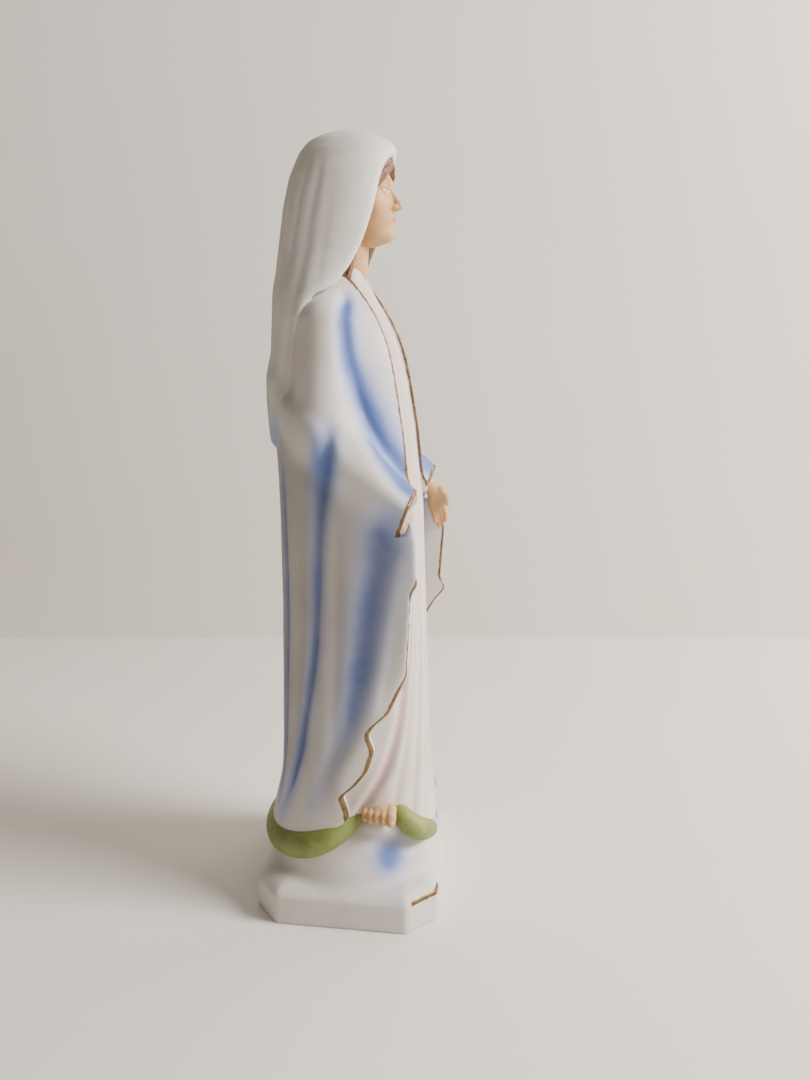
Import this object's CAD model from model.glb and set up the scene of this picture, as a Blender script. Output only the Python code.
import math

import bpy
import numpy as np
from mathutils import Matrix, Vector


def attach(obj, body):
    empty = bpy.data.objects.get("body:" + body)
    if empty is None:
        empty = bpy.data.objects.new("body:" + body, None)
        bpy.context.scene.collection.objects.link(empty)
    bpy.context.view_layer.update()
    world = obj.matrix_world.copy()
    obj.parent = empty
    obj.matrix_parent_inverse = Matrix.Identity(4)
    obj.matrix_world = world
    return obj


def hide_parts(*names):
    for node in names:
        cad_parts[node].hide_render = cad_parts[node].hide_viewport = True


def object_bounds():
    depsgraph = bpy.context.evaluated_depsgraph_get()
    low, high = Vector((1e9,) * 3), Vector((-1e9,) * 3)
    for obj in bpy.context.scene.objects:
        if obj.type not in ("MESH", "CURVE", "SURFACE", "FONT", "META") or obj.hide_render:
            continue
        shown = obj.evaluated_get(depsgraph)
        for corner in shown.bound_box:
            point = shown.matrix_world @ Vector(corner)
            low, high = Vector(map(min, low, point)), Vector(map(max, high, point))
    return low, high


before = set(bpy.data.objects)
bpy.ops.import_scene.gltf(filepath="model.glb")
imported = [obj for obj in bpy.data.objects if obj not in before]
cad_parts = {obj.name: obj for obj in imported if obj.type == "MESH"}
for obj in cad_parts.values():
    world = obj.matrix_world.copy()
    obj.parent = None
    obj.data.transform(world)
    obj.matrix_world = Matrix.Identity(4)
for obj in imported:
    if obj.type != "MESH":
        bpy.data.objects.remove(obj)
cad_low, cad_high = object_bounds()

import openvdb
from mathutils import Vector

# A hand-painted bisque porcelain figurine. Every piece is sculpted as a distance field in millimetres, in
# the frame's own axes: +Z up, the figure faces -Y, her right side is -X. Fields are negative inside.
MM = 0.001
DRAWN_HEIGHT = 0.216
# The frame's height over the height that the figure is drawn at: 1 when the two agree.
UNIT = (cad_high.z - cad_low.z) / DRAWN_HEIGHT


# ---------------------------------------------------------------- field tools

def profile(*points, smooth=1.6, step=0.2):
    """A smooth curve through (position, value) points, such as a width that changes with height."""
    where, values = zip(*sorted(points))
    reach = int(4 * smooth / step)
    fine = np.arange(where[0] - 4, where[-1] + 4, step)
    kernel = np.exp(-0.5 * (np.arange(-reach, reach + 1) * step / smooth) ** 2)
    padded = np.pad(np.interp(fine, where, values), reach, mode="edge")
    curve = np.convolve(padded, kernel / kernel.sum(), mode="valid")
    return lambda q: np.interp(q, fine, curve).astype(np.float32)


def union(a, b, blend=0.01):
    """The two fields joined, with a fillet of about the blend."""
    mix = np.clip(0.5 + 0.5 * (b - a) / blend, 0, 1)
    return b + (a - b) * mix - blend * mix * (1 - mix)


def carve(a, b, blend=0.01):
    """Field a where field b is not, with its edges rounded by about the blend."""
    return -union(-a, b, blend)


def both(a, b, blend=0.01):
    """Where both fields are inside, with its edges rounded by about the blend."""
    return -union(-a, -b, blend)


def step_up(low, high, q):
    """0 below low, 1 above high, and smooth between."""
    t = np.clip((q - low) / (high - low), 0, 1)
    return t * t * (3 - 2 * t)


def bump(q, width):
    """A bell of height 1 around 0."""
    return np.exp(-(q / width) ** 2)


def ellipsoid(p, centre, radii):
    q = [(a - c) / r for a, c, r in zip(p, centre, radii)]
    near = np.sqrt(q[0] ** 2 + q[1] ** 2 + q[2] ** 2) + 1e-6
    slope = np.sqrt(sum((a / r) ** 2 for a, r in zip(q, radii))) + 1e-6
    return near * (near - 1) / slope


def capsule(p, start, end, start_radius, end_radius):
    """A round taper between two points."""
    run = np.subtract(end, start)
    along = sum((a - s) * r for a, s, r in zip(p, start, run)) / float(run @ run)
    t = np.clip(along, 0, 1)
    gap = np.sqrt(sum((a - s - t * r) ** 2 for a, s, r in zip(p, start, run)))
    return gap - (start_radius + (end_radius - start_radius) * t)


def chain(p, points, radii, blend):
    """Capsules joined one after the other."""
    field = capsule(p, points[0], points[1], radii[0], radii[1])
    for i in range(1, len(points) - 1):
        field = union(field, capsule(p, points[i], points[i + 1], radii[i], radii[i + 1]), blend)
    return field


def slab(p, point, normal):
    """The half space behind a plane."""
    length = math.sqrt(sum(n * n for n in normal))
    return sum((a - c) * n / length for a, c, n in zip(p, point, normal))


def column(p, half_width, front, back, square_front=2.0, square_back=2.0):
    """An upright draped form, from its half width, front face and back face at each height."""
    x, y, z = p
    wide = half_width(z)
    near, far = front(z), back(z)
    middle = 0.5 * (near + far)
    deep = 0.5 * (far - near)
    across = np.abs(x) / wide + 1e-4
    along = np.abs(y - middle) / deep + 1e-4
    power = np.where(y < middle, square_front, square_back).astype(np.float32)
    ratio = (across ** power + along ** power) ** (1 / power)
    reach = np.hypot(x, y - middle) + 0.02
    return (ratio - 1) * reach / ratio


def side_arc(p):
    """Distance round the figure from the pure side, in mm: negative to the front, positive to the back."""
    x, y, z = p
    return 25 * (np.arctan2(np.abs(x), -(y - 0.5)) - math.pi / 2)


# ---------------------------------------------------------------- from field to mesh

def sculpt(name, field, low, high, voxel, relax=2):
    """The surface of a field inside a box, as a mesh object of even quads."""
    axes = [np.arange(a, b + voxel, voxel, dtype=np.float32) for a, b in zip(low, high)]
    p = np.meshgrid(*axes, indexing="ij", sparse=True)
    p = [np.ascontiguousarray(np.broadcast_to(a, [len(v) for v in axes])) for a in p]
    band = 3 * voxel
    values = np.clip(field(p), -band, band).astype(np.float32)
    grid = openvdb.FloatGrid(band)
    grid.copyFromArray(values)
    points, quads = grid.convertToQuads(0.0)
    points = points * voxel + np.array(low, np.float32)
    points = smooth_points(points, quads, relax)
    return mesh_object(name, points, quads)


def smooth_points(points, quads, rounds):
    """Evens out the marching steps: each vertex moves towards its neighbours and back a little."""
    edges = np.concatenate([quads[:, [i, (i + 1) % 4]] for i in range(4)])
    count = np.bincount(edges.ravel(), minlength=len(points)).astype(np.float32)[:, None]
    for _ in range(rounds):
        for pull in (0.6, -0.62):
            total = np.zeros_like(points)
            for a, b in ((0, 1), (1, 0)):
                for axis in range(3):
                    total[:, axis] += np.bincount(edges[:, a], points[edges[:, b], axis], len(points))
            points = points + pull * (total / count - points)
    return points


def mesh_object(name, points, quads):
    mesh = bpy.data.meshes.new(name)
    mesh.vertices.add(len(points))
    mesh.vertices.foreach_set("co", (points * MM * UNIT).astype(np.float32).ravel())
    mesh.loops.add(quads.size)
    mesh.loops.foreach_set("vertex_index", quads.astype(np.int32).ravel())
    mesh.polygons.add(len(quads))
    mesh.polygons.foreach_set("loop_start", np.arange(0, quads.size, 4, dtype=np.int32))
    mesh.update(calc_edges=True)
    mesh.validate()
    mesh.shade_smooth()
    piece = bpy.data.objects.new(name, mesh)
    bpy.context.scene.collection.objects.link(piece)
    return piece


def vertices_mm(piece):
    co = np.zeros(len(piece.data.vertices) * 3, np.float32)
    piece.data.vertices.foreach_get("co", co)
    co = co.reshape(-1, 3) / (MM * UNIT)
    return [co[:, 0], co[:, 1], co[:, 2]]


def paint(piece, **masks):
    """Writes each mask, a function of the vertices, as a vertex attribute that the materials read."""
    p = vertices_mm(piece)
    for name, mask in masks.items():
        layer = piece.data.attributes.new(name, "FLOAT", "POINT")
        layer.data.foreach_set("value", np.asarray(mask(p), np.float32))


# ---------------------------------------------------------------- drapery: profiles by height

GOWN_FRONT = profile(
    (17, -24.0), (20, -23.8), (31, -22.6), (41, -21.6), (58, -21.0), (84, -20.1), (110, -19.5),
    (119, -19.2), (126, -18.2), (138, -16.9), (149, -15.1), (157, -13.4), (164, -11.2), (170, -8.2),
    (177, -4.4), (181, -2.6))
GOWN_BACK = profile((17, 22), (40, 17), (120, 14), (165, 12), (181, 8))
GOWN_WIDE = profile(
    (17, 23.6), (31, 22.6), (41, 22.0), (60, 21.2), (84, 19.8), (110, 18.4), (120, 16.6), (135, 15.6),
    (150, 14.4), (165, 12.4), (175, 9.6), (181, 7.0))

TORSO_FRONT = profile(
    (112, -20.4), (119, -20.2), (126, -19.5), (138, -18.3), (149, -16.6), (157, -15.0), (164, -12.9),
    (170, -10.0), (177, -5.9), (183, -3.2))
TORSO_BACK = profile(
    (112, 19.2), (131, 20.2), (138, 21.0), (146, 21.8), (155, 21.6), (164, 20.9), (176, 19.4), (184, 15))
TORSO_WIDE = profile(
    (112, 21), (125, 20), (150, 18.6), (160, 18.0), (168, 16.2), (175, 12.8), (180, 9.6), (184, 7))

CLOAK_FRONT = profile((17, -21), (40, -22.4), (72, -23.6), (82, -26), (100, -27), (118, -27), (130, -25))
CLOAK_BACK = profile(
    (17, 26.6), (20, 26.5), (25, 25.6), (30, 24.2), (38, 22.2), (49, 21.4), (64, 21.1), (80, 20.4),
    (88, 19.9), (113, 19.6), (128, 19.8), (140, 20.4))
CLOAK_WIDE = profile(
    (17, 26.0), (25, 25.2), (31, 24.9), (45, 24.5), (60, 24.6), (75, 25.0), (90, 26.4), (104, 28.0),
    (116, 29.4), (126, 29.6), (140, 28))

VEIL_FRONT = profile(
    (150, 4), (170, -4), (185, -11), (195, -12.6), (206, -13.2), (209.5, -12.9), (211.4, -12.1),
    (213, -10.4), (214.2, -7.9), (215.3, -4.4), (216, 0.6), smooth=0.5, step=0.1)
VEIL_BACK = profile(
    (150, 16), (164, 19.4), (176, 20.6), (183, 20.3), (190, 19.3), (197, 18.2), (204, 16.5), (210, 13.9),
    (213, 11.4), (215, 7.2), (216, 1.0), smooth=0.5, step=0.1)
VEIL_WIDE = profile(
    (150, 6), (160, 12), (168, 16.4), (174, 17.0), (179, 15.9), (185, 14.5), (192, 14.0), (199, 13.5),
    (205, 12.6), (210, 10.7), (213, 8.2), (215, 4.9), (216, 0.8), smooth=0.5, step=0.1)
# Where the veil ends. VEIL_FACE is its edge beside the face, as Y by height. VEIL_SIDE is its border over the
# shoulder and down the back, as the distance round the figure by height.
VEIL_FACE = profile(
    (160, 5.5), (172, 1.8), (179, -0.6), (183.6, -3.1), (187, -4.7), (190, -5.8), (194.6, -7.2),
    (198, -8.0), (202, -8.8), (204.5, -9.4), (207, -10.3), (209, -11.2), (211.4, -12.5),
    (214, -15), smooth=0.7)
VEIL_SIDE = profile(
    (131, 20.6), (147, 18.6), (162, 14.8), (171, 11.4), (174.2, 8.0), (175.6, 3.0), (177.3, -0.3),
    (179.4, -2.6), (182, -12), (186, -40), smooth=0.6)

# The mantle's front edge, as Y by height. It leaves the gown below the knee, waves down to the foot, and
# turns over in a small fold at the end of each hanging front.
EDGE_RIGHT = profile(
    (24, -2.4), (31, -1.8), (34, -1.4), (38, 0.2), (41.5, -3.8), (46, -7.2), (52, -9.0), (56.5, -7.3),
    (59.5, -8.9), (63, -13.0), (69.5, -16.0), (74.5, -18.1), (85, -18.9), (95, -19.5), (98, -19.6),
    (100.5, -21.2), (112, -20.9), (118, -20.0), smooth=0.7)
EDGE_LEFT = profile(
    (24, -2.2), (31, -1.6), (35, -0.8), (41, -4.4), (46, -7.0), (52, -9.3), (57, -8.0), (61, -11.0),
    (66, -14.6), (72, -16.8), (78, -18.3), (82, -20.6), (86.4, -24.3), (87.6, -23.9), (89.5, -22.4),
    (105, -23.4), (112, -23.0), (118, -21.0), smooth=0.6)
OPENING_HALF = profile(
    (60, 21.4), (76, 22.0), (90, 23.2), (104, 24.8), (116.6, 25.0), (118.2, 13.6), (121, 10.9),
    (135, 10.6), (150, 10.3), (165, 9.6), (177, 8.4), (186, 8.0), smooth=0.8)
# Where the hem ends over the globe and the serpent, by the distance round from the side.
HEM_HEIGHT = profile(
    (-26, 27), (-12, 32), (-4, 31.8), (-1.5, 31.2), (3, 26.0), (8, 22.6), (14, 20.8), (24, 19.4),
    (40, 18.8))
GOWN_HEM = profile(
    (-40, 19.4), (-34, 20.2), (-28, 23), (-22, 27.5), (-16, 31.8), (-10, 33.6), (-5, 31), (0, 27),
    (6, 25))
# Arms, from shoulder to cuff, on her left; the right arm mirrors them.
SHOULDER = np.array((13.8, 4.4, 165.6))
ELBOW = np.array((20.6, 3.8, 139.5))
CUFF = np.array((24.6, -17.8, 120.6))
CUFF_POINT = np.array((24.9, -19.0, 119.6))
CUFF_FACE = (0.0, -0.93, -0.37)
# The tops of the gown, hidden by the mantle, of the mantle, hidden by the veil, and of the veil, and the
# height where the hanging fronts meet the cuffs.
GOWN_TOP = 181
MANTLE_TOP = 182
VEIL_TOP = 215.9
FALL_TOP = 117.6


# ---------------------------------------------------------------- folds

def fold_path(*points):
    return profile(*points, smooth=3.0)


# Valleys of the mantle: path round the figure by height, depth, half width, and the heights where it fades.
MANTLE_FOLDS = (
    (fold_path((30, 23), (36, 20), (42, 16.5), (51, 12.8), (61, 11), (72, 8.4), (81, 6.8), (95, 5.3),
               (115, 3.5), (138, 0.6)), 1.25, 1.7, (24, 34), (134, 146)),
    (fold_path((43, 5.4), (54, -0.6), (61, -2.9), (70, -5.0), (79, -6.3), (90, -7.6), (97, -8.6),
               (108, -10.1), (123, -11.2)), 1.4, 3.4, (30, 46), (114, 128)),
    (fold_path((40, 3), (67, 1.4), (85, 0.2), (107, -0.6), (123, -1.4)), 0.5, 2.0, (40, 60), (108, 124)),
    (fold_path((60, -11), (80, -13), (100, -14.5), (118, -15.5)), 0.45, 1.6, (58, 72), (104, 118)),
    (fold_path((30, 19), (51, 16), (70, 13.6), (93, 12.2), (121, 11.2)), 0.75, 2.4, (26, 40), (112, 134)),
    (fold_path((26, 27), (60, 22), (100, 19), (128, 18)), 1.1, 2.0, (22, 36), (114, 130)),
    (fold_path((26, 33), (60, 30), (90, 26), (128, 25)), 1.0, 2.6, (22, 34), (104, 130)),
    (fold_path((26, 39.5), (70, 39), (128, 36)), 0.9, 2.2, (22, 34), (100, 128)),
)
GOWN_FOLDS = (
    (fold_path((28, -3), (36, -7.5), (40, -11), (48, -15), (58, -18.6), (74, -21.6), (95, -23.4), (120, -25)),
     1.8, 1.8, (26, 34), (112, 124)),
    (fold_path((24, -13), (36, -16.6), (48, -19.6), (66, -23.6), (90, -27.5), (112, -29)),
     0.55, 1.5, (22, 32), (96, 112)),
    (fold_path((20, -19.5), (40, -25), (66, -29.6), (100, -32.6)), 1.0, 1.7, (16, 24), (92, 112)),
    (fold_path((18, -26.5), (40, -30), (70, -34.5), (100, -36.5)), 0.7, 1.5, (16, 24), (84, 110)),
    (fold_path((18, -34), (60, -38), (100, -40)), 0.85, 1.6, (16, 24), (80, 108)),
)
VEIL_FOLDS = (
    (fold_path((134, 24), (172, 15), (184, 14.5), (194, 13), (203, 10)), 0.4, 2.0, (134, 150), (198, 210)),
    (fold_path((134, 29), (173, 22), (185, 21), (203, 18), (206, 17)), 0.5, 1.6, (132, 150), (199, 210)),
    (fold_path((134, 35), (172, 29), (203, 28)), 0.45, 2.2, (132, 150), (196, 208)),
    (fold_path((150, 12), (172, 8.5), (186, 7.4), (200, 4)), 0.1, 2.0, (168, 180), (190, 204)),
)


def folds(p, valleys, swing):
    """How far a set of valleys sinks the surface; her left side has them a little shifted."""
    z = p[2]
    arc = side_arc(p)
    shift = np.where(p[0] < 0, 0.0, swing * np.sin(z / 17.0)).astype(np.float32)
    sunk = np.zeros_like(arc)
    for path, depth, half_width, fade_low, fade_high in valleys:
        strength = step_up(*fade_low, z) * (1 - step_up(*fade_high, z))
        off = arc + shift - path(z)
        sunk += depth * strength * (bump(off, half_width) - 0.35 * bump(off, 2.6 * half_width))
    return sunk


# ---------------------------------------------------------------- drapery: fields

def mirrored(p):
    """The points as seen from the side they are on, so that both arms are made as the left one."""
    return [np.abs(p[0]), p[1], p[2]]


def gown_field(p):
    body = column(p, GOWN_WIDE, GOWN_FRONT, GOWN_BACK, 2.5, 2.0)
    pleats = 0.1 * np.sin(side_arc(p) / 2.1 + p[2] / 60.0) * step_up(120, 168, p[2])
    cloth = body + folds(p, GOWN_FOLDS, 0.8) + pleats
    under_hem = (GOWN_HEM(side_arc(p)) - p[2]) * 0.9
    return both(np.maximum(cloth, p[2] - GOWN_TOP), under_hem, 1.0)


def arm_field(p):
    q = mirrored(p)
    upper = capsule(q, SHOULDER, ELBOW, 7.8, 7.6)
    lower = capsule(q, ELBOW, CUFF, 7.4, 5.3)
    return union(upper, lower, 3.5)


# The deep fold between the chest and the sleeve, as Y and height.
SLEEVE_CREASE = (
    (-0.4, 174.0), (-0.6, 166.0), (-1.6, 158.0), (-4.6, 147.0), (-7.4, 140.2), (-10.8, 134.2),
    (-15.0, 128.6), (-19.0, 124.0))


def sleeve_crease(p):
    """Distance to the sleeve crease, seen from the side."""
    flat = [0 * p[0], p[1], p[2]]
    points = [(0.0, *corner) for corner in SLEEVE_CREASE]
    return chain(flat, points, [0.0] * len(points), 0.5)


def forearm_line(p):
    """Above 0 over the forearm's middle, where the cloak can't reach."""
    top = 120.5 + (p[1] + 19.0) * 0.76
    return (p[2] - top) * 0.8


def mantle_outside(p):
    """The cloak's outer skin: chest and shoulders, both arms, and the cloth that hangs from them."""
    torso = column(p, TORSO_WIDE, TORSO_FRONT, TORSO_BACK, np.where(p[0] < 0, 2.3, 3.0), 2.1)
    squareness = 3.4 + 3.4 * step_up(68, 84, p[2])
    cloak = column(p, CLOAK_WIDE, CLOAK_FRONT, CLOAK_BACK, squareness, 2.15)
    cloak = both(cloak, forearm_line(p), 3.0)
    skin = union(union(torso, arm_field(p), 4.5), cloak, 5.0)
    crease = 0.95 * bump(sleeve_crease(p), 1.6) * step_up(10.5, 14, np.abs(p[0])) * step_up(-3, 0, -p[1])
    return skin + folds(p, MANTLE_FOLDS, 1.4) + crease


def front_edge(p):
    """Y of the mantle's front edge, on the side that a point is on."""
    right = EDGE_RIGHT(p[2])
    left = EDGE_LEFT(p[2])
    return np.where(p[0] < 0, right, left)


def opening_field(p):
    """The open space in front of the mantle, negative inside it."""
    x, y, z = p
    slot = np.maximum(np.abs(x) - OPENING_HALF(z), y)
    edge = y - front_edge(p) + 60 * step_up(FALL_TOP, 120, z)
    return np.minimum(slot, edge * 0.8)


def cuff_mouth(p):
    """The hollow end of each sleeve, the space before it for the hand, and the slit down to the fall."""
    q = mirrored(p)
    deep_end = CUFF_POINT + np.array((-0.6, 7.5, 4.5))
    open_end = CUFF_POINT + np.array((-0.6, -3, -2))
    hollow = capsule(q, deep_end, open_end, 2.6, 4.2)
    ahead = slab(q, CUFF_POINT, CUFF_FACE)
    over_fall = (FALL_TOP + 0.25 * (q[1] + 20) - q[2]) * 0.9
    above = np.maximum(np.maximum(-ahead, 14 - q[0]), over_fall)
    inside = np.maximum(np.maximum(-ahead, q[0] - 24.9), 104 - q[2])
    slit = np.maximum(np.maximum(np.abs(ahead - 0.4) - 0.65, 22 - q[0]), 114.2 - q[2])
    return np.minimum(np.minimum(hollow, above), np.minimum(inside, slit))


def hem_field(p):
    """Above 0 under the hem."""
    return (HEM_HEIGHT(side_arc(p)) - p[2]) * 0.9


def mantle_field(p):
    skin = mantle_outside(p)
    cloth = carve(skin, opening_field(p), 0.9)
    cloth = carve(cloth, cuff_mouth(p), 0.5)
    cloth = both(cloth, hem_field(p), 1.2)
    return np.maximum(cloth, p[2] - MANTLE_TOP)


def veil_outside(p):
    hood = column(p, VEIL_WIDE, VEIL_FRONT, VEIL_BACK, 2.1, 2.1) / (1 + 2.2 * step_up(206, 216, p[2]))
    from_edge = side_arc(p) - VEIL_SIDE(p[2])
    over_mantle = mantle_outside(p) - 0.45 - 0.95 * step_up(0, 6, from_edge)
    over_mantle = np.maximum(over_mantle, p[2] - MANTLE_TOP)
    over_head = union(hood, over_mantle, 4.0) + folds(p, VEIL_FOLDS, 1.0)
    return both(over_head, p[2] - VEIL_TOP, 0.8)


def veil_border(p):
    """Above 0 past the veil's lower border: over the shoulder, down the side of the back, and across it."""
    arc = side_arc(p)
    side = (VEIL_SIDE(p[2]) - arc) * (0.55 - 0.2 * step_up(168, 174, p[2]))
    return np.maximum(side, 134.5 + 0.8 * np.sin(arc / 2.0) - p[2])


def veil_field(p):
    skin = veil_outside(p)
    cloth = carve(skin, np.maximum(skin + 1.7, 173 - p[2]), 0.6)
    cloth = both(cloth, (VEIL_FACE(p[2]) - p[1]) * 0.9, 1.0)
    return both(cloth, veil_border(p), 1.3)


# ---------------------------------------------------------------- base, serpent and feet

PLINTH_HALF = (29.7, 26.7)
PLINTH_CORNER = 7.9
PLINTH_CREASE = 8.4
GLOBE_CENTRE = (0.0, -0.2, 9.5)
GLOBE_HALF = (27.1, 26.0, 27.4)
GLOBE_TOP = 33
VENT_Y = 9.0
VENT_RADIUS = 3.5
VENT_DEPTH = 6


def plinth_inset(p):
    """How far a point is outside the plinth's eight walls; negative inside."""
    x, y = np.abs(p[0]), np.abs(p[1])
    corner = (x + y - (PLINTH_HALF[0] + PLINTH_HALF[1] - PLINTH_CORNER)) / math.sqrt(2)
    walls = both(x - PLINTH_HALF[0], y - PLINTH_HALF[1], 0.8)
    return both(walls, corner, 0.8) + 0.012 * p[2]


def shoulder_rise(inset):
    """Height of the plinth's sloping shoulder above its crease, by the distance in from the walls."""
    inward = np.maximum(-inset, 0)
    return 2.9 * (1 - np.exp(-inward / 1.9)) + 0.12 * inward


def base_field(p):
    inset = plinth_inset(p)
    top = (p[2] - PLINTH_CREASE - shoulder_rise(inset)) * 0.75
    plinth = both(inset, top, 0.5)
    globe = ellipsoid(p, GLOBE_CENTRE, GLOBE_HALF)
    q = mirrored(p)
    foot_rest = ellipsoid(q, (18.4, -10.0, 27.6), (4.5, 4.7, 3.5))
    globe = np.maximum(union(globe, foot_rest, 3.0), p[2] - GLOBE_TOP)
    vent = np.hypot(p[0], p[1] - VENT_Y) - VENT_RADIUS
    solid = both(union(plinth, globe, 2.6), -p[2], 0.5)
    return carve(solid, np.maximum(vent, p[2] - VENT_DEPTH), 0.4)


# The serpent's centre line, from one end under the hem to the other, and its radius at each point.
COIL_POINTS = (
    (-19.2, -4.6, 31.4), (-22.4, -0.4, 27.8), (-23.8, 5.4, 23.8), (-22.0, 13.0, 20.6),
    (-15.6, 20.4, 18.6), (-5.5, 24.2, 18.2), (5.0, 24.6, 18.0), (14.8, 21.2, 19.4), (21.4, 13.8, 21.6),
    (23.6, 6.0, 24.4), (22.2, 0.0, 27.6), (19.2, -4.6, 31.0))
COIL_RADII = (1.3, 2.8, 3.7, 4.1, 4.3, 4.2, 4.1, 3.9, 3.6, 3.2, 2.4, 1.3)
LOOP_POINTS = (
    (-17.6, -14.2, 32.8), (-20.2, -17.0, 29.8), (-18.6, -20.0, 26.5), (-14.2, -22.3, 23.6),
    (-9.2, -23.4, 21.8))
LOOP_RADII = (1.4, 2.8, 3.1, 2.8, 1.9)
NECK_POINTS = (
    (18.6, -12.4, 31.6), (21.6, -14.2, 28.8), (21.6, -16.2, 25.6), (19.8, -17.8, 23.4),
    (17.8, -19.0, 22.6))
NECK_RADII = (1.4, 2.7, 2.9, 2.4, 1.8)
# How far the head stands in X and Y from where it is drawn, and the middle of its painted eye.
SERPENT_HEAD_SHIFT = (5.0, 3.6)
SERPENT_EYE = (15.2, -21.9, 23.1)


def smooth_path(points, radii, count=28):
    """The points and radii of a chain, resampled along one soft curve."""
    where = np.arange(len(points), dtype=float)
    fine = np.linspace(0, len(points) - 1, count)
    curves = [profile(*zip(where * 10, values), smooth=5.0)(fine * 10) for values in (*zip(*points), radii)]
    return np.stack(curves[:3], axis=1).astype(float), curves[3]


def coil_field(p):
    return chain(p, *smooth_path(COIL_POINTS, COIL_RADII, 40), 1.2)


def loop_field(p):
    return chain(p, *smooth_path(LOOP_POINTS, LOOP_RADII, 14), 1.0)


def neck_loop_field(p):
    return chain(p, *smooth_path(NECK_POINTS, NECK_RADII, 14), 1.0)


def serpent_head_field(p):
    q = [p[0] - SERPENT_HEAD_SHIFT[0], p[1] - SERPENT_HEAD_SHIFT[1], p[2]]
    crown = ellipsoid(q, (11.8, -23.4, 22.2), (3.6, 2.5, 2.3))
    snout = ellipsoid(q, (8.9, -24.0, 21.6), (3.2, 1.8, 1.5))
    skull = union(crown, snout, 1.4)
    brow = union(skull, ellipsoid(q, (10.6, -24.6, 23.6), (1.6, 1.0, 0.8)), 0.7)
    eye = ellipsoid(q, (10.2, -25.3, 23.1), (0.6, 0.5, 0.6))
    jaw_line = np.maximum(np.abs(q[2] - 20.9 - 0.08 * (q[0] - 9)) - 0.14, q[0] - 12.2)
    return union(carve(brow, np.maximum(jaw_line, -skull - 0.5), 0.2), eye, 0.15)


# Y, extra length and thickness of each toe, from the little toe to the great one.
TOES = ((-6.0, 0.0, 0.95), (-7.7, 0.7, 1.05), (-9.5, 1.1, 1.12), (-11.4, 1.3, 1.2), (-13.5, 1.2, 1.5))
FOOT_LIFT = 1.1


def foot_field(p):
    q = mirrored(p)
    q = [q[0], q[1], q[2] - FOOT_LIFT]
    instep = ellipsoid(q, (16.6, -10.0, 32.0), (6.4, 4.4, 2.9))
    ball = ellipsoid(q, (19.8, -10.2, 31.2), (3.4, 4.7, 2.0))
    foot = union(instep, ball, 1.5)
    for forward, long, thick in TOES:
        knuckle = (21.0, forward + 0.2, 32.2)
        bend = (22.5 + long, forward, 31.4)
        tip = (22.9 + long, forward, 29.9)
        foot = union(foot, chain(q, (knuckle, bend, tip), (thick * 0.9, thick, thick * 0.92), 0.4), 0.5)
        nail = ellipsoid(q, (tip[0] + 0.86 * thick, forward, 30.3), (0.22, 0.55 * thick, 0.6 * thick))
        foot = union(foot, nail, 0.12)
    return foot


# ---------------------------------------------------------------- hands

# Y and height of the knuckle, of the middle joint and of the tip, from the little finger on.
FINGERS = (
    ((-19.6, 112.4), (-20.5, 110.0), (-20.9, 107.9)), ((-20.7, 112.0), (-21.7, 109.1), (-22.0, 106.5)),
    ((-21.9, 112.0), (-22.9, 109.3), (-23.2, 106.9)), ((-23.0, 112.7), (-23.9, 110.4), (-24.1, 108.5)))
# Her right hand is held a little further back than the left, inside its sleeve.
RIGHT_HAND_BACK = 6.2
HAND_INWARD = 3.4


def hand_field(p):
    """Both hands: held down beside her with the palms turned in, the fingers together."""
    q = mirrored(p)
    q[1] = q[1] - np.where(p[0] < 0, RIGHT_HAND_BACK, 0.0).astype(np.float32)
    q[0] = q[0] + HAND_INWARD
    wrist = capsule(q, (27.4, -15.6, 121.8), (27.2, -20.4, 117.4), 2.7, 2.2)
    palm = ellipsoid(q, (27.0, -21.3, 114.4), (1.75, 3.0, 3.7))
    hand = union(wrist, palm, 1.5)
    for knuckle, middle, tip in FINGERS:
        joints = ((27.2, *knuckle), (27.0, *middle), (26.3, *tip))
        hand = union(hand, chain(q, joints, (0.98, 0.88, 0.7), 0.3), 0.28)
    thumb = ((26.4, -22.4, 117.6), (25.8, -24.0, 115.8), (25.6, -24.5, 113.8))
    hand = union(hand, chain(q, thumb, (1.35, 1.15, 0.85), 0.4), 0.5)
    return carve(hand, ellipsoid(q, (24.9, -21.4, 114.2), (1.1, 1.9, 2.2)), 0.7)


# ---------------------------------------------------------------- head, of the builder's own plain design

EYE = (3.55, -8.3, 200.4)


def neck_field(p):
    column_of_neck = capsule(p, (0, 3.6, 166), (0, 0.2, 190), 6.4, 5.0)
    return union(column_of_neck, ellipsoid(p, (0, 1.5, 174), (10.5, 6.0, 4.6)), 3.0)


def eye_field(p):
    return ellipsoid(mirrored(p), EYE, (1.75, 1.75, 1.6))


def across_eye(q):
    """Distance outward from the lids' middle."""
    return q[0] - EYE[0] + 0.15


def lid_lines(q, upper=0.72):
    """Height above the upper lid's edge, and depth below the lower lid's edge."""
    bow = across_eye(q) ** 2
    above = q[2] - (EYE[2] + upper - 0.2 * bow)
    below = (EYE[2] - 0.52 + 0.14 * bow) - q[2]
    return above, below


def lid_field(p):
    """The open lids: a slightly larger ball, without the almond between them."""
    q = mirrored(p)
    ball = ellipsoid(q, EYE, (2.1, 2.02, 1.95))
    above, below = lid_lines(q)
    gap = np.maximum(np.maximum(above, below), q[1] + 7.2)
    return carve(ball, gap, 0.12)


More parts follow.
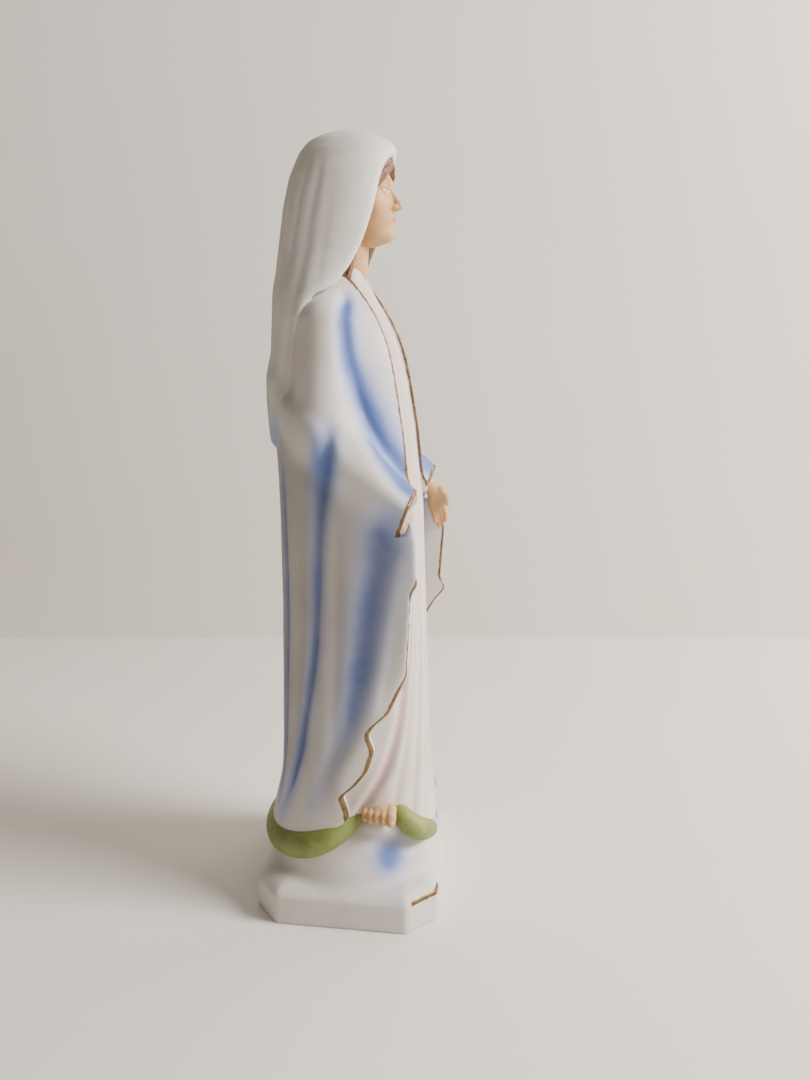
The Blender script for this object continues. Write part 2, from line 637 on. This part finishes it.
def head_field(p):
    q = mirrored(p)
    skull = ellipsoid(p, (0, 1.2, 202.6), (8.8, 11.3, 11.0))
    face = ellipsoid(p, (0, -3.0, 197.4), (7.3, 8.1, 10.2))
    jaw = ellipsoid(p, (0, -6.2, 191.2), (4.3, 4.9, 3.9))
    form = union(union(skull, face, 3.0), jaw, 3.2)
    form = union(form, ellipsoid(q, (4.5, -7.0, 196.8), (2.7, 2.5, 2.6)), 2.4)
    form = carve(form, ellipsoid(q, (3.6, -11.6, 200.5), (2.5, 1.7, 1.6)), 1.8)
    form = union(form, capsule(q, (1.6, -10.0, 203.0), (5.6, -8.2, 203.0), 0.5, 0.4), 1.6)
    form = union(form, lid_field(p), 0.35)
    form = union(form, eye_field(p), 0.06)
    bridge = capsule(p, (0, -10.3, 201.6), (0, -12.5, 197.6), 0.62, 0.9)
    tip = ellipsoid(p, (0, -12.7, 197.0), (1.1, 1.15, 1.0))
    wings = ellipsoid(q, (1.15, -11.6, 196.6), (0.75, 1.05, 0.75))
    form = union(form, union(union(bridge, tip, 0.8), wings, 0.5), 0.9)
    form = carve(form, ellipsoid(q, (0.62, -12.1, 195.85), (0.32, 0.55, 0.32)), 0.25)
    form = union(form, ellipsoid(p, (0, -10.0, 193.4), (2.8, 1.5, 1.9)), 1.2)
    upper_lip = ellipsoid(q, (0.75, -11.15, 193.75), (1.35, 0.7, 0.5))
    lower_lip = ellipsoid(p, (0, -11.05, 192.85), (1.5, 0.75, 0.52))
    form = union(form, union(upper_lip, lower_lip, 0.12), 0.4)
    form = union(form, ellipsoid(p, (0, -9.8, 189.6), (2.1, 1.5, 1.5)), 1.4)
    return form


HAIRLINE = profile(
    (182, 7.0), (190, 7.7), (197, 7.3), (201, 6.2), (203.6, 4.8), (205.4, 2.6), (206.6, 0.0),
    (214, -6), smooth=0.5)


def strands(p):
    """Hair combed down and back from the centre parting, as shallow waves."""
    q = mirrored(p)
    flow = q[2] * 0.55 + q[1] * 0.9 + 0.6 * np.sin(q[2] / 2.3)
    return 0.16 * np.sin(flow * 4.2) + 0.1 * np.sin(flow * 9.1 + 1.3)


def hair_field(p):
    cap = ellipsoid(p, (0, 1.0, 203.2), (9.9, 13.4, 10.9))
    side = capsule(mirrored(p), (7.6, -2.2, 199), (6.6, 0.6, 178), 3.2, 2.0)
    cap = union(cap, side, 2.0)
    cut = (HAIRLINE(p[2]) - np.abs(p[0])) * 0.8
    back_cut = p[1] - 8
    return np.maximum(both(cap + strands(p), cut, 0.9), back_cut)


# ---------------------------------------------------------------- painted decoration, as masks from 0 to 1

def line_mask(distance, half_width):
    """1 on a painted line, falling to 0 at twice its half width, so that a material can roughen its edge."""
    return np.clip(1 - np.abs(distance) / (2 * half_width), 0, 1)


def band(p, path, half_width, low, high):
    """A soft airbrushed stripe that follows a path down the figure and fades out at both ends."""
    off = side_arc(p) - path(p[2])
    return bump(off, half_width) * step_up(*low, p[2]) * (1 - step_up(*high, p[2]))


def spot(p, centre, radii):
    q = sum(((a - c) / r) ** 2 for a, c, r in zip(p, centre, radii))
    return np.exp(-q)


# Path, half width, the heights where it fades in and out, and strength.
BLUE_BANDS = (
    (MANTLE_FOLDS[1][0], 6.2, (44, 74), (114, 130), 0.68),
    (MANTLE_FOLDS[1][0], 3.2, (38, 58), (104, 128), 0.5),
    (MANTLE_FOLDS[0][0], 3.2, (26, 50), (130, 146), 0.58),
    (MANTLE_FOLDS[0][0], 1.3, (26, 44), (122, 138), 0.5),
    (MANTLE_FOLDS[5][0], 2.8, (18, 34), (124, 136), 0.7),
    (MANTLE_FOLDS[6][0], 2.4, (24, 60), (112, 130), 0.6),
    (MANTLE_FOLDS[7][0], 2.8, (24, 60), (110, 130), 0.6),
    (fold_path((20, 24), (28, 20.5), (36, 17.6), (46, 14.4), (60, 11)), 3.2, (19, 30), (46, 64), 0.5),
    (fold_path((24, 10), (36, 8), (50, 3)), 4.5, (26, 36), (40, 62), 0.34),
)
CREASE_Y = profile(*((height, y) for y, height in SLEEVE_CREASE))


def over(lower, upper):
    """One airbrushed layer over another."""
    return 1 - (1 - lower) * (1 - upper)


def mantle_blue(p):
    x, y, z = p
    q = mirrored(p)
    blue = np.zeros_like(x)
    for path, half_width, low, high, strength in BLUE_BANDS:
        blue = over(blue, strength * band(p, path, half_width, low, high))
    beside = sleeve_crease(p)
    ahead = CREASE_Y(z) - y
    core = 2.9 + 1.9 * bump(z - 143, 15)
    chest = 0.8 * bump(beside, core) * step_up(-3.6, -0.4, ahead)
    chest = chest + 0.45 * bump(beside, 5.6) * step_up(-1, 1, ahead)
    chest = chest * step_up(121, 127, z)
    chest = chest * (1 - step_up(168, 177, z)) * step_up(7, 11, q[0]) * step_up(-4, -1, -y)
    layers = (
        chest,
        0.78 * spot(q, (26, 2.6, 133.0), (12, 4.6, 10.0)),
        0.5 * spot(q, (8, 20.5, 130), (16, 5.5, 6.5)),
        0.28 * spot(q, (15, -13.5, 140), (9, 5, 16)),
        0.75 * spot(q, (22, -17.5, 125.5), (5, 4.4, 4.2)) * (x > 0))
    for layer in layers:
        blue = over(blue, layer)
    return np.clip(blue, 0, 1)


GOLD_WIDTH = profile(
    (30, 1.05), (70, 0.9), (75, 0.35), (97, 0.3), (99, 0.8), (101, 0.7), (103, 0.1), (117, 0.1),
    (121, 1.3), (182, 1.2), smooth=1.0)


def mantle_gold(p):
    """The brushed line on the rims of the opening and the cuffs, thin where the right front hangs plain."""
    skin = -mantle_outside(p)
    rim = np.maximum(np.abs(opening_field(p)), skin * 0.8) + 20 * step_up(180, 184, p[2])
    width = np.where(p[0] < 0, GOLD_WIDTH(p[2]), 0.8)
    hanging = np.abs(p[1] - front_edge(p)) + 20 * (p[0] < 20) + 20 * (p[2] < 78) + 20 * (p[2] > 117)
    ahead = slab(mirrored(p), CUFF_POINT, CUFF_FACE)
    cuff = np.maximum(np.abs(cuff_mouth(p)), skin) + 20 * (p[2] < 113.4) + 20 * (ahead > 0.35)
    return np.maximum(np.maximum(line_mask(rim, width), line_mask(cuff, 0.85)), line_mask(hanging, 0.7))


def mantle_shade(p):
    """The grey-brown wash on the sides and back of the mantle, under the sleeves."""
    under_sleeve = 1 - step_up(-11, -4, forearm_line(p))
    behind_edge = step_up(-7.0, -2.5, side_arc(p) - MANTLE_FOLDS[1][0](p[2]))
    return under_sleeve * behind_edge * step_up(20, 52, p[2])


def veil_blue(p):
    arc = side_arc(p)
    foot = 0.55 * (1 - step_up(136, 150, p[2])) * step_up(16, 20, arc)
    crease = 0.08 * band(p, VEIL_FOLDS[1][0], 1.8, (138, 150), (196, 206))
    return np.clip(foot + crease, 0, 1)


# Which of the gown's folds are pink, with the half width and the strength of the colour.
PINK_FOLDS = ((0, 1.7, 1.0), (1, 1.1, 0.5), (2, 1.4, 0.8), (4, 1.7, 0.8))


def gown_pink(p):
    total = np.zeros_like(p[0])
    for fold, half_width, strength in PINK_FOLDS:
        stripe = band(p, GOWN_FOLDS[fold][0], half_width, (26, 36), (108, 128))
        total = np.maximum(total, strength * stripe)
    q = mirrored(p)
    chest = 0.6 * spot(q, (5.6, -11, 161), (2.6, 9, 10)) + 0.4 * spot(q, (6.5, -17, 136), (2.4, 6, 12))
    chest = chest + 0.34 * step_up(112, 124, p[2])
    halo = 0.8 * spot(q, (22.0, -9.6, 36.2), (4.5, 5.5, 2.2))
    return np.clip(np.maximum(total, np.maximum(chest, halo)), 0, 1)


def globe_blue(p):
    q = mirrored(p)
    across = 0.86 * (q[1] + 12.8) + 0.51 * (q[0] - 21.9)
    near = spot((across, q[2]), (0, 18.6), (6.0, 5.6)) * step_up(8, 14, q[0])
    front = 0.9 * spot(p, (0.5, -23.6, 21.5), (4.6, 4, 4.2))
    back = 0.5 * spot(p, (6, 26, 17), (4, 4, 3))
    return np.clip(near + front + back, 0, 1)


def plinth_gold(p):
    """The short brush line on the top edge of the front right corner, and a little way along the front."""
    crease = np.hypot(plinth_inset(p) + 0.45, p[2] - PLINTH_CREASE - 0.35)
    along = (p[0] - p[1]) / math.sqrt(2)
    start = -5.4 - along
    stop = p[0] + 18.0
    on_line = np.maximum(crease, np.maximum(start, stop) + 0.3) * (p[0] < 0) + 9 * (p[0] >= 0)
    return line_mask(on_line, 0.75)


def distance_to(p, centre):
    return np.sqrt(sum((a - c) ** 2 for a, c in zip(p, centre)))


def hem_gold_dot(p):
    return line_mask(distance_to(p, (1.6, -22.0, 38.5)), 0.9)


def serpent_eye(p):
    return np.clip(1 - distance_to(p, SERPENT_EYE) / 0.9, 0, 1)


def toe_blush(p):
    return 0.5 * bump(p[2] - 29.2, 1.4)


def finger_blush(p):
    return 0.45 * bump(p[2] - 107.5, 2.4)


def skin_blush(p):
    q = mirrored(p)
    return np.clip(spot(q, (5.4, -8.8, 196.2), (2.4, 3.0, 2.1)), 0, 1)


def lips(p):
    q = mirrored(p)
    upper = ellipsoid(q, (0.75, -11.2, 193.72), (1.5, 1.3, 0.55))
    lower = ellipsoid(p, (0, -11.1, 192.85), (1.55, 1.3, 0.58))
    return np.clip(0.5 - np.minimum(upper, lower) / 0.5, 0, 1) * (p[1] < -9.5)


def brows(p):
    q = mirrored(p)
    flat = [q[0], 0 * q[1], q[2]]
    rise = capsule(flat, (1.9, 0, 202.7), (3.6, 0, 203.4), 0.12, 0.22)
    tail = capsule(flat, (3.6, 0, 203.4), (5.8, 0, 202.7), 0.22, 0.08)
    return np.clip(0.5 - np.minimum(rise, tail) / 0.6, 0, 1) * (p[1] < -5)


def eye_white(p):
    above, below = lid_lines(mirrored(p))
    return np.clip(0.5 - np.maximum(above, below) / 0.5, 0, 1) * (p[1] < -7.5)


def iris(p):
    q = mirrored(p)
    from_middle = np.hypot(q[0] - EYE[0], q[2] - EYE[2] - 0.1)
    return np.clip(0.5 - (from_middle - 0.72) / 0.5, 0, 1) * (p[1] < -7.5)


def lash(p):
    q = mirrored(p)
    above, _ = lid_lines(q, 0.78)
    line = np.clip(0.5 - (np.abs(above) - 0.12) / 0.4, 0, 1)
    return line * (p[1] < -7.3) * (np.abs(across_eye(q)) < 1.75)


# ---------------------------------------------------------------- materials

# The depth in metres of the fine relief that the materials add.
RELIEF_DEPTH = 0.0004


class Nodes:
    """A material's node tree, with short calls that add one node each and return its main output."""

    def __init__(self, name):
        self.material = bpy.data.materials.new(name)
        self.material.use_nodes = True
        self.tree = self.material.node_tree
        self.tree.nodes.clear()

    def add(self, kind, output, inputs, **settings):
        made = self.tree.nodes.new(kind)
        for key, value in settings.items():
            setattr(made, key, value)
        for key, value in inputs.items():
            socket = made.inputs[key]
            if isinstance(value, bpy.types.NodeSocket):
                self.tree.links.new(value, socket)
            else:
                socket.default_value = value
        return made.outputs[output] if output is not None else made

    def mask(self, name):
        return self.add("ShaderNodeAttribute", "Fac", {}, attribute_name=name, attribute_type="GEOMETRY")

    def place(self):
        return self.add("ShaderNodeTexCoord", "Object", {})

    def noise(self, size, detail=3.0, roughness=0.55):
        """Noise from 0 to 1, with features about the given size in mm."""
        scale = 1 / (size * MM * UNIT)
        inputs = {"Vector": self.place(), "Scale": scale, "Detail": detail, "Roughness": roughness}
        return self.add("ShaderNodeTexNoise", "Fac", inputs)

    def spread(self, value, low, high, new_low=0.0, new_high=1.0):
        inputs = {"Value": value, "From Min": low, "From Max": high, "To Min": new_low, "To Max": new_high}
        return self.add("ShaderNodeMapRange", "Result", inputs, interpolation_type="SMOOTHSTEP")

    def maths(self, operation, a, b=0.0):
        made = self.add("ShaderNodeMath", None, {0: a, 1: b}, operation=operation)
        return made.outputs[0]

    def mix(self, factor, a, b):
        made = self.add("ShaderNodeMix", None, {0: factor, 6: a, 7: b}, data_type="RGBA")
        return made.outputs[2]

    def brushed(self, name, grain, size, low=0.4, high=0.56):
        """A painted mask with a slightly uneven edge."""
        wobble = self.maths("MULTIPLY", self.maths("SUBTRACT", self.noise(size), 0.5), grain)
        return self.spread(self.maths("ADD", self.mask(name), wobble), low, high)

    def finish(self, colour, roughness, fine, strength, **inputs):
        relief = {"Height": fine, "Strength": strength, "Distance": RELIEF_DEPTH}
        normal = self.add("ShaderNodeBump", "Normal", relief)
        settings = {"Base Color": colour, "Roughness": roughness, "Normal": normal, **inputs}
        shader = self.add("ShaderNodeBsdfPrincipled", "BSDF", settings)
        self.add("ShaderNodeOutputMaterial", None, {"Surface": shader})
        return self.material


BISQUE_LIGHT = (0.70, 0.66, 0.61, 1)
BISQUE_WARM = (0.625, 0.57, 0.505, 1)
BLUE_LIGHT = (0.28, 0.385, 0.70, 1)
BLUE_DEEP = (0.10, 0.16, 0.44, 1)
PINK = (0.60, 0.37, 0.33, 1)
UMBER = (0.06, 0.045, 0.03, 1)
GOLD_LIGHT = (0.21, 0.128, 0.055, 1)
GOLD_DARK = (0.105, 0.062, 0.027, 1)
SKIN_LIGHT = (0.58, 0.375, 0.17, 1)
SKIN_WARM = (0.50, 0.28, 0.115, 1)
BLUSH = (0.66, 0.22, 0.15, 1)
LIP_RED = (0.50, 0.12, 0.09, 1)
HAIR_DARK = (0.115, 0.045, 0.024, 1)
HAIR_LIGHT = (0.25, 0.108, 0.055, 1)
GREEN_LIGHT = (0.235, 0.275, 0.07, 1)
GREEN_DARK = (0.16, 0.20, 0.045, 1)
EYE_WHITE = (0.72, 0.68, 0.62, 1)
EYE_BROWN = (0.06, 0.035, 0.025, 1)


def bisque_body(n):
    """Unglazed white porcelain: a soft warm mottle."""
    return n.mix(n.spread(n.noise(22, 4.0), 0.35, 0.7), BISQUE_LIGHT, BISQUE_WARM)


def grain_height(n):
    """The fine tooth of bisque with a few slow undulations."""
    return n.maths("ADD", n.maths("MULTIPLY", n.noise(0.5, 4.0, 0.7), 0.4), n.noise(5.0, 2.0))


def bisque(name):
    """Bisque with the airbrushed colours, the wash and the brushed gold that the pieces' masks ask for."""
    n = Nodes(name)
    colour = bisque_body(n)
    pink = n.maths("MULTIPLY", n.mask("pink"), n.spread(n.noise(3.0), 0.2, 0.8, 0.7, 1.0))
    colour = n.mix(n.maths("MULTIPLY", pink, 0.85), colour, PINK)
    patchy = n.spread(n.noise(9.0, 2.0), 0.25, 0.75, 0.88, 1.04)
    blue = n.maths("MULTIPLY", n.mask("blue"), patchy)
    speckle = n.maths("MULTIPLY", n.maths("SUBTRACT", n.noise(0.3, 2.0), 0.5), 0.06)
    blue = n.maths("ADD", blue, n.maths("MULTIPLY", speckle, n.spread(blue, 0.0, 0.4)))
    tint = n.mix(n.spread(blue, 0.3, 1.0), BLUE_LIGHT, BLUE_DEEP)
    colour = n.mix(n.spread(blue, -0.1, 0.9), colour, tint)
    wash = n.maths("MULTIPLY", n.mask("shade"), n.spread(n.noise(14.0, 2.0), 0.3, 0.7, 0.37, 0.41))
    colour = n.mix(wash, colour, UMBER)
    gold = n.brushed("gold", 0.35, 1.6)
    gilt = n.mix(n.spread(n.noise(1.2), 0.3, 0.7), GOLD_LIGHT, GOLD_DARK)
    colour = n.mix(gold, colour, gilt)
    matt = n.spread(n.noise(4.0), 0.3, 0.7, 0.56, 0.70)
    rough = n.add("ShaderNodeMix", None, {0: gold, 2: matt, 3: 0.36}, data_type="FLOAT").outputs[0]
    shine = n.maths("MULTIPLY", gold, 0.55)
    return n.finish(colour, rough, grain_height(n), 0.16, Metallic=shine)


def skin(name):
    n = Nodes(name)
    colour = n.mix(n.spread(n.noise(5.0), 0.3, 0.7), SKIN_LIGHT, SKIN_WARM)
    colour = n.mix(n.maths("MULTIPLY", n.mask("blush"), 0.5), colour, BLUSH)
    colour = n.mix(n.maths("MULTIPLY", n.brushed("lips", 0.1, 1.0, 0.25, 0.6), 0.8), colour, LIP_RED)
    white = n.brushed("eye_white", 0.05, 1.0, 0.4, 0.6)
    colour = n.mix(white, colour, EYE_WHITE)
    looking = n.maths("MULTIPLY", n.brushed("iris", 0.05, 1.0, 0.4, 0.6), white)
    colour = n.mix(looking, colour, EYE_BROWN)
    colour = n.mix(n.maths("MULTIPLY", n.brushed("lash", 0.1, 1.0, 0.35, 0.65), 0.85), colour, EYE_BROWN)
    colour = n.mix(n.maths("MULTIPLY", n.brushed("brows", 0.2, 0.6, 0.35, 0.7), 0.75), colour, HAIR_DARK)
    rough = n.spread(n.noise(3.0), 0.3, 0.7, 0.5, 0.62)
    return n.finish(colour, rough, grain_height(n), 0.1)


def hair_paint(name):
    n = Nodes(name)
    colour = n.mix(n.spread(n.noise(1.1, 4.0, 0.7), 0.35, 0.65), HAIR_DARK, HAIR_LIGHT)
    rough = n.spread(n.noise(1.5), 0.3, 0.7, 0.48, 0.64)
    return n.finish(colour, rough, grain_height(n), 0.25)


def serpent_paint(name):
    n = Nodes(name)
    colour = n.mix(n.spread(n.noise(4.5, 4.0, 0.6), 0.3, 0.72), GREEN_LIGHT, GREEN_DARK)
    colour = n.mix(n.mask("eye"), colour, GOLD_DARK)
    rough = n.spread(n.noise(2.5), 0.3, 0.7, 0.5, 0.66)
    return n.finish(colour, rough, grain_height(n), 0.2)


# ---------------------------------------------------------------- pieces

def place_piece(piece, material, nodes):
    piece.data.materials.append(material)
    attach(piece, "root")
    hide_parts(*nodes)


def side_box(side, low, high):
    """The corners of a box on her left side, or of its mirror image on her right."""
    if side == "left":
        return low, high
    return (-high[0], *low[1:]), (-low[0], *high[1:])


def build_pieces():
    porcelain = bisque("bisque_porcelain")
    flesh = skin("painted_skin")
    green = serpent_paint("painted_serpent")

    base = sculpt("base", base_field, (-31, -28, -1), (31, 28, 35), 0.4)
    paint(base, blue=globe_blue, gold=plinth_gold)
    place_piece(base, porcelain, ("base_plinth", "base_globe"))

    gown = sculpt("gown", gown_field, (-26, -26, 17), (26, 10, 183), 0.5)
    paint(gown, pink=gown_pink, gold=hem_gold_dot)
    place_piece(gown, porcelain, ("gown_skirt", "gown_bodice"))

    mantle = sculpt("mantle", mantle_field, (-35, -30, 17), (35, 29, 184), 0.5)
    paint(mantle, blue=mantle_blue, shade=mantle_shade, gold=mantle_gold)
    nodes = ("mantle", "mantle_fall_right", "mantle_fall_left", "sleeve_right", "sleeve_left")
    place_piece(mantle, porcelain, nodes)

    veil = sculpt("veil", veil_field, (-26, -15, 130), (26, 29, 218), 0.42)
    paint(veil, blue=veil_blue)
    place_piece(veil, porcelain, ("veil",))

    for name, field, low, high in (
            ("serpent_coil", coil_field, (-30, -8, 12), (30, 31, 34)),
            ("serpent_loop", loop_field, (-25, -28, 16), (-5, -10, 35)),
            ("serpent_neck", neck_loop_field, (9, -28, 16), (25, -10, 35)),
            ("serpent_head", serpent_head_field, (9, -25, 17), (23, -15, 27))):
        piece = sculpt(name, field, low, high, 0.3)
        paint(piece, eye=serpent_eye)
        place_piece(piece, green, (name,))

    for name in ("right", "left"):
        foot = sculpt("foot_" + name, foot_field, *side_box(name, (10, -18, 26), (28, -3, 37)), 0.22)
        paint(foot, blush=toe_blush)
        place_piece(foot, flesh, ("foot_" + name,))
        hand = sculpt("hand_" + name, hand_field, *side_box(name, (17, -27, 103), (30, -9, 125)), 0.2)
        paint(hand, blush=finger_blush)
        place_piece(hand, flesh, ("hand_" + name,))

    head = sculpt("head", head_field, (-11, -16, 184), (11, 14, 215), 0.2)
    paint(head, blush=skin_blush, lips=lips, brows=brows, eye_white=eye_white, iris=iris, lash=lash)
    place_piece(head, flesh, ("head",))
    neck = sculpt("neck", neck_field, (-13, -8, 168), (13, 11, 195), 0.35)
    place_piece(neck, flesh, ("neck",))
    hair = sculpt("hair", hair_field, (-12, -14, 174), (12, 12, 215), 0.25)
    place_piece(hair, hair_paint("painted_hair"), ("hair",))


# ---------------------------------------------------------------- floor, backdrop, light and camera

VIEW_TURN = math.radians(-79.0)
VIEW_DISTANCE = 241.7
VIEW_HEIGHT = 159.4
VIEW_PAN = math.radians(3.37)
VIEW_DOWN = math.radians(12.44)
LENS = 28.44
SENSOR = 36


def camera_place():
    x = math.sin(VIEW_TURN) * VIEW_DISTANCE
    y = -math.cos(VIEW_TURN) * VIEW_DISTANCE
    return Vector((x, y, VIEW_HEIGHT)) * MM * UNIT


def look_direction():
    turn = VIEW_TURN - VIEW_PAN
    level = Vector((-math.sin(turn), math.cos(turn), 0))
    return level * math.cos(VIEW_DOWN) - Vector((0, 0, math.sin(VIEW_DOWN)))


def add_camera():
    data = bpy.data.cameras.new("camera")
    data.lens = LENS
    data.sensor_width = SENSOR
    data.sensor_fit = "AUTO"
    data.clip_start = 0.01
    camera = bpy.data.objects.new("camera", data)
    bpy.context.scene.collection.objects.link(camera)
    camera.location = camera_place()
    camera.rotation_mode = "QUATERNION"
    camera.rotation_quaternion = look_direction().to_track_quat("-Z", "Y")
    bpy.context.scene.camera = camera


def paper(name, light, warm):
    """Matt paper with a very slow tone and a faint crinkle."""
    n = Nodes(name)
    colour = n.mix(n.spread(n.noise(260, 2.0), 0.3, 0.7), light, warm)
    rough = n.spread(n.noise(60), 0.3, 0.7, 0.8, 0.92)
    return n.finish(colour, rough, n.noise(90, 3.0), 0.25)


# The sheet of paper, in mm: the wall is measured from the camera along the floor.
WALL_DISTANCE = 459.6
BEND_RADIUS = 2.0
BEND_STEPS = 12
BEHIND_CAMERA = 900.0
PAPER_HALF_WIDTH = 1400.0
PAPER_HEIGHT = 1400.0
PAPER_LIGHT = (0.83, 0.795, 0.74, 1)
PAPER_WARM = (0.78, 0.735, 0.67, 1)


def add_backdrop():
    """One sheet of paper: a floor under the figure that turns up into a wall behind it."""
    level = look_direction()
    level.z = 0
    level.normalize()
    side = Vector((-level.y, level.x, 0))
    start = camera_place()
    start.z = 0
    bend_start = WALL_DISTANCE - BEND_RADIUS
    run = [(-BEHIND_CAMERA, 0.0), (bend_start, 0.0)]
    for i in range(1, BEND_STEPS + 1):
        angle = i / BEND_STEPS * math.pi / 2
        along = bend_start + BEND_RADIUS * math.sin(angle)
        run.append((along, BEND_RADIUS * (1 - math.cos(angle))))
    run.append((WALL_DISTANCE, PAPER_HEIGHT))
    points = []
    for across in (-PAPER_HALF_WIDTH, PAPER_HALF_WIDTH):
        for along, up in run:
            points.append(start + (level * along + side * across + Vector((0, 0, up))) * MM * UNIT)
    count = len(run)
    faces = [(i, i + 1, i + 1 + count, i + count) for i in range(count - 1)]
    mesh = bpy.data.meshes.new("backdrop")
    mesh.from_pydata(points, [], faces)
    mesh.shade_smooth()
    sheet = bpy.data.objects.new("backdrop", mesh)
    bpy.context.scene.collection.objects.link(sheet)
    mesh.materials.append(paper("backdrop_paper", PAPER_LIGHT, PAPER_WARM))


LAMP_COLOUR = (1.0, 0.955, 0.90)
ROOM_LIGHT = 0.115


def add_light(name, place, target, size, power, colour):
    """A round lamp: its place, target and size in mm, and its power in watts."""
    data = bpy.data.lights.new(name, "AREA")
    data.shape = "DISK"
    data.size = size * MM * UNIT
    data.energy = power
    data.color = colour
    light = bpy.data.objects.new(name, data)
    bpy.context.scene.collection.objects.link(light)
    light.location = Vector(place) * MM * UNIT
    light.rotation_mode = "QUATERNION"
    light.rotation_quaternion = (Vector(target) - Vector(place)).to_track_quat("-Z", "Y")


def add_lights():
    add_light("key", (-120, -820, 640), (0, 0, 100), 380, 14, LAMP_COLOUR)
    add_light("fill", (-700, -260, 520), (200, 0, 110), 600, 0.9, (1.0, 0.93, 0.85))
    add_light("paper", (20, -760, 560), (235, 160, 120), 260, 6.5, (1.0, 0.95, 0.90))
    world = bpy.data.worlds.new("room")
    bpy.context.scene.world = world
    world.use_nodes = True
    background = world.node_tree.nodes["Background"]
    background.inputs["Color"].default_value = (*LAMP_COLOUR, 1)
    background.inputs["Strength"].default_value = ROOM_LIGHT


build_pieces()
add_backdrop()
add_lights()
add_camera()
